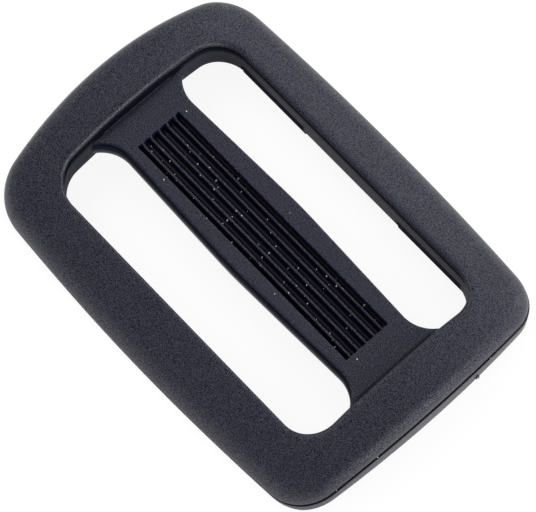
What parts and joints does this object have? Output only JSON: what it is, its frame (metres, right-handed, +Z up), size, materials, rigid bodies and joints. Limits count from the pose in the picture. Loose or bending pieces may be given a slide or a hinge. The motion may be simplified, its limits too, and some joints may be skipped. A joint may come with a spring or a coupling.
{
  "type": "strap slider",
  "caption": "Arched plastic strap slider: a rounded frame with a recessed, ridged bar between its webbing slots, for setting the length of a strap or belt.",
  "frame": {"origin": "middle of the underside, level with the two pads that the slider rests on", "axes": "+X along the slots and the bar, +Y across them, +Z up through the crown of the arch"},
  "size_m": [0.0502, 0.0354, 0.0077],
  "materials": {
    "black_plastic": "matte, with a fine moulded grain"
  },
  "bodies": {
    "root": {"slider_body": "black_plastic"}
  },
  "joints": []
}
